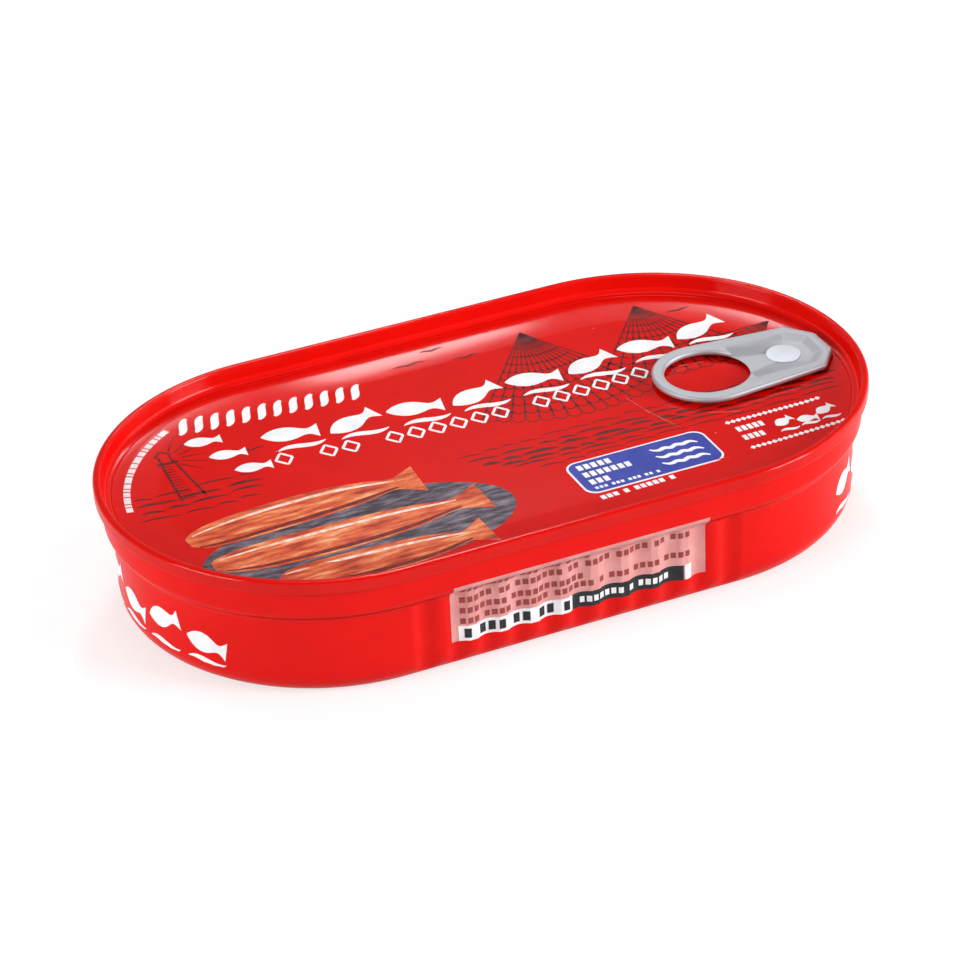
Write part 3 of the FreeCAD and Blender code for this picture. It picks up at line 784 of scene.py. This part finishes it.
def make_fish_dish():
    bpy.ops.mesh.primitive_circle_add(vertices=120, radius=1, fill_type="TRIFAN")
    slate = bpy.context.object
    slate.name = "slate_dish"
    edit_all(slate)
    bpy.ops.transform.resize(value=(29.5 * MM, 13.6 * MM, 1))
    bpy.ops.transform.translate(value=(-34.0 * MM, -20.8 * MM, 0))
    bpy.ops.object.mode_set(mode="OBJECT")
    slate_ink = streaked_ink("slate_grey_ink", ("#241C22", "#4A3E4A", "#6E6270", "#8F8793"), 1.6, (0.35, 1.6, 1))
    lay_on_panel(slate, slate_ink, 1, 6)
    fish_ink = streaked_ink("bronze_fish_ink", ("#8A2412", "#CC4622", "#E87440", "#FBB482"), 2.2, (0.3, 1.5, 1))
    shape = ((0, 0.3), (0.03, 0.62), (0.1, 0.88), (0.3, 1.0), (0.55, 0.98), (0.74, 0.8), (0.86, 0.42), (0.9, 0.38),
             (0.95, 0.7), (1.0, 0.98))
    fish, shine, shade = [], [], []
    for head, tail, bow in (((-62.0, -9.0), (-17.0, -7.6), 1.2), ((-61.0, -18.6), (-9.0, -18.6), -0.6),
                            ((-52.0, -28.4), (-13.0, -29.6), -0.8)):
        body = []
        for along, share in shape:
            x = head[0] + (tail[0] - head[0]) * along
            y = head[1] + (tail[1] - head[1]) * along + bow * math.sin(math.pi * along)
            body.append((x, y, share))
        fish.append(body)
        shine.append([(x, y + 2.9 * share, 0.25 + 0.75 * math.sin(math.pi * i / 6)) for i, (x, y, share)
                      in enumerate(body[1:8])])
        shade.append([(x, y - 3.6 * share, 0.3 + 0.7 * math.sin(math.pi * i / 6)) for i, (x, y, share)
                      in enumerate(body[1:8])])
    lay_on_panel(draw_strokes("printed_fish", fish, 9.4, fineness=8), fish_ink, 2, 1)
    pale = ink_material("pale_orange_ink", "#F2B898", "#FDEADF", 1.5)
    deep = ink_material("deep_brown_ink", "#6A160E", "#8C2416", 1.5)
    lay_on_panel(draw_strokes("fish_shine", shine, 0.8), pale, 3)
    lay_on_panel(draw_strokes("fish_shade", shade, 1.1), deep, 3)


make_fish_dish()


# The side print wraps the can: a pale pink patch of small blocks on the near flutes, and white fish
# that swim round both ends towards the back.

WALL_INK_GAP = 1.2 * MM
FILM_LIFT = 0.045 * MM
FILM_BODY = 0.03 * MM


def lay_on_wall(piece, ink, layer=1, cuts=0, straight=True):
    """Bends a flat drawing, x along the wall from the middle of the near side and y up it, round the can.
    On the straight run the ink is laid square to the side, so that it keeps its shape over the step."""
    edit_all(piece)
    bpy.ops.mesh.remove_doubles(threshold=MERGE_REACH)
    if cuts:
        bpy.ops.mesh.subdivide(number_cuts=cuts)
    bpy.ops.object.mode_set(mode="OBJECT")
    reach = NECK_RADIUS + WALL_INK_GAP
    for vertex in piece.data.vertices:
        run, height = vertex.co.x, vertex.co.y
        side = 1 if run > 0 else -1
        over = max(0.0, abs(run) - HALF_RUN) / WALL_RADIUS
        vertex.co = (side * (min(abs(run), HALF_RUN) + reach * math.sin(over)), -reach * math.cos(over), height)
    wrap = piece.modifiers.new("wrap", "SHRINKWRAP")
    wrap.target = can_wall
    wrap.offset = FILM_LIFT * layer
    if straight:
        wrap.wrap_method = "PROJECT"
        wrap.use_project_y = True
    else:
        wrap.wrap_method = "NEAREST_SURFACEPOINT"
        wrap.wrap_mode = "ABOVE_SURFACE"
    select_only(piece)
    bpy.ops.object.modifier_apply(modifier=wrap.name)
    body = piece.modifiers.new("body", "SOLIDIFY")
    body.thickness = FILM_BODY
    body.offset = 0
    bpy.ops.object.modifier_apply(modifier=body.name)
    bpy.ops.object.mode_set(mode="EDIT")
    bpy.ops.mesh.select_all(action="SELECT")
    bpy.ops.mesh.normals_make_consistent(inside=False)
    bpy.ops.object.mode_set(mode="OBJECT")
    bpy.ops.object.shade_flat()
    piece.data.materials.append(ink)
    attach(piece, "root")


def make_side_print():
    pink = ink_material("pale_pink_ink", "#DE9390", "#E8A3A0", 5.0)
    brown = ink_material("red_brown_ink", "#94413F", "#A04B48", 1.0)
    black = ink_material("black_printing_ink", "#26282B", "#303236", 2.0)
    bpy.ops.mesh.primitive_grid_add(x_subdivisions=150, y_subdivisions=26, size=1)
    field = bpy.context.object
    field.name = "pink_side_patch"
    edit_all(field)
    bpy.ops.transform.resize(value=(50.0 * MM, 12.6 * MM, 1))
    bpy.ops.transform.translate(value=(0.2 * MM, 12.1 * MM, 0))
    bpy.ops.object.mode_set(mode="OBJECT")
    lay_on_wall(field, pink, 1)
    lines = block_row(-23, 16.6, 2, 16.6, 0.8, 0.4, (9, 3, 3))
    lines += block_row(-23, 14.2, 23, 15.2, 0.9, 0.4, (5, 2, 7, 2, 4))
    lines += block_row(-23, 12.0, 1, 12.2, 0.9, 0.4, (7, 12))
    lines += block_row(-23, 9.8, 22, 11.2, 0.9, 0.4, (3, 4, 5, 6, 1))
    lay_on_wall(draw_strokes("side_small_blocks", lines, 1.15, order=2), brown, 2, 3)
    for name, first, last, ink in (("white_strip", -23.4, -1.4, WHITE_INK), ("black_strip", -1.4, 20.6, black),
                                   ("strip_end", 20.9, 22.2, WHITE_INK)):
        stroke = [(first + (last - first) * i / 60, 7.3, 1.0) for i in range(61)]
        lay_on_wall(draw_strokes(name, [stroke], 3.1, order=2), ink, 2, 1)
    digits = block_row(-22.4, 7.3, -2.0, 7.3, 1.2, 0.6, (1, 3, 2, 2, 2))
    lay_on_wall(draw_strokes("strip_blocks", digits, 1.9, order=2), black, 3, 3)
    words = block_row(0.2, 7.3, 19.8, 7.3, 0.85, 0.4, (7, 1, 5))
    lay_on_wall(draw_strokes("strip_white_blocks", words, 1.2, order=2), WHITE_INK, 3, 3)
    school = []
    for side in (-1, 1):
        run = 66.0 if side < 0 else 58.0
        while run < 150:
            tilt = 14.0 if len(school) % 2 else -10.0
            school.append(small_fish(side * run - (8.4 if side < 0 else 0.0), 9.2, 8.4, tilt))
            run += 10.0
    lay_on_wall(draw_strokes("side_fish", school, 4.6, fineness=8), WHITE_INK, 1, 2, False)
    ripples = [low_wave(fish[0][0], 4.9, 8.0, 0.6) for fish in school]
    lay_on_wall(draw_strokes("side_ripples", ripples, 1.2), WHITE_INK, 1, 2, False)


make_side_print()


# The pull tab is one aluminium blank, curled under at every edge so that it is smooth to the finger.
# Its nose is pressed into a pan round the rivet, and the ring behind it stands level over the panel.


def satin_metal(name, colour, roughness):
    """Satin aluminium from a coiled strip: a neutral grey that is bright where it turns to the light, with a
    fine grain along the tab that spreads its highlights."""
    material, tree = new_material(name)
    place = node(tree, "TexCoord")
    along = node(tree, "Mapping", values={"Scale": (1.0, 7.0, 7.0)}, links={0: place.outputs["Object"]})
    grain = node(tree, "TexNoise", values={"Scale": 1 / (1.4 * MM), "Detail": 4.0}, links={0: along.outputs[0]})
    shade = node(tree, "ValToRGB", links={0: grain.outputs[0]})
    shade.color_ramp.elements[0].position = 0.3
    shade.color_ramp.elements[0].color = [c * 0.93 for c in linear(colour)[:3]] + [1.0]
    shade.color_ramp.elements[1].position = 0.7
    shade.color_ramp.elements[1].color = linear(colour)
    bump = node(tree, "Bump", values={"Strength": 0.12, "Distance": 0.01 * MM}, links={"Height": grain.outputs[0]})
    metal = node(tree, "BsdfPrincipled", values={"Metallic": 1.0, "Roughness": roughness},
                 links={"Base Color": shade.outputs[0], "Normal": bump.outputs[0]})
    node(tree, "OutputMaterial", links={"Surface": metal.outputs[0]})
    return material


def smooth_copy(cad_name, name):
    """A copy of a CAD node's mesh, its loose triangles merged and smoothed over its rounded edges."""
    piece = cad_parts[cad_name].copy()
    piece.data = piece.data.copy()
    piece.name = name
    piece.parent = None
    for key in list(piece.keys()):
        del piece[key]
    bpy.context.scene.collection.objects.link(piece)
    piece.data.materials.clear()
    edit_all(piece)
    bpy.ops.mesh.remove_doubles(threshold=0.002 * MM)
    bpy.ops.object.mode_set(mode="OBJECT")
    bpy.ops.object.shade_smooth_by_angle(angle=math.radians(35))
    return piece


def make_tab():
    tab = smooth_copy("pull_tab", "ring_pull")
    tab.data.materials.append(satin_metal("satin_aluminium", "#BDBFC4", 0.64))
    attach(tab, "root")
    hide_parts("pull_tab")


make_tab()


# The rivet is a button drawn up from the lid through the tab and flattened over it.
# Its flat head is painted an even pale white, a painted highlight for the light its flat top reflects, so it shows as
# one even bright disc.


def make_rivet():
    rivet = smooth_copy("rivet", "lid_rivet")
    material, tree = new_material("rivet_painted_highlight")
    place = node(tree, "TexCoord")
    cloud = node(tree, "TexNoise", values={"Scale": 1 / (1.5 * MM)}, links={0: place.outputs["Object"]})
    shade = node(tree, "ValToRGB", links={0: cloud.outputs[0]})
    # Painted highlight: the near-white head colour stands in for the bright reflection of the rivet's flat top.
    shade.color_ramp.elements[0].color = linear("#DCE2EC")
    shade.color_ramp.elements[1].color = linear("#E8EDF6")
    varnish = node(tree, "BsdfPrincipled", values={"Roughness": 0.4, "Coat Weight": 0.3, "Coat Roughness": 0.2},
                   links={"Base Color": shade.outputs[0]})
    node(tree, "OutputMaterial", links={"Surface": varnish.outputs[0]})
    rivet.data.materials.append(material)
    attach(rivet, "root")
    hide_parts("rivet")


make_rivet()
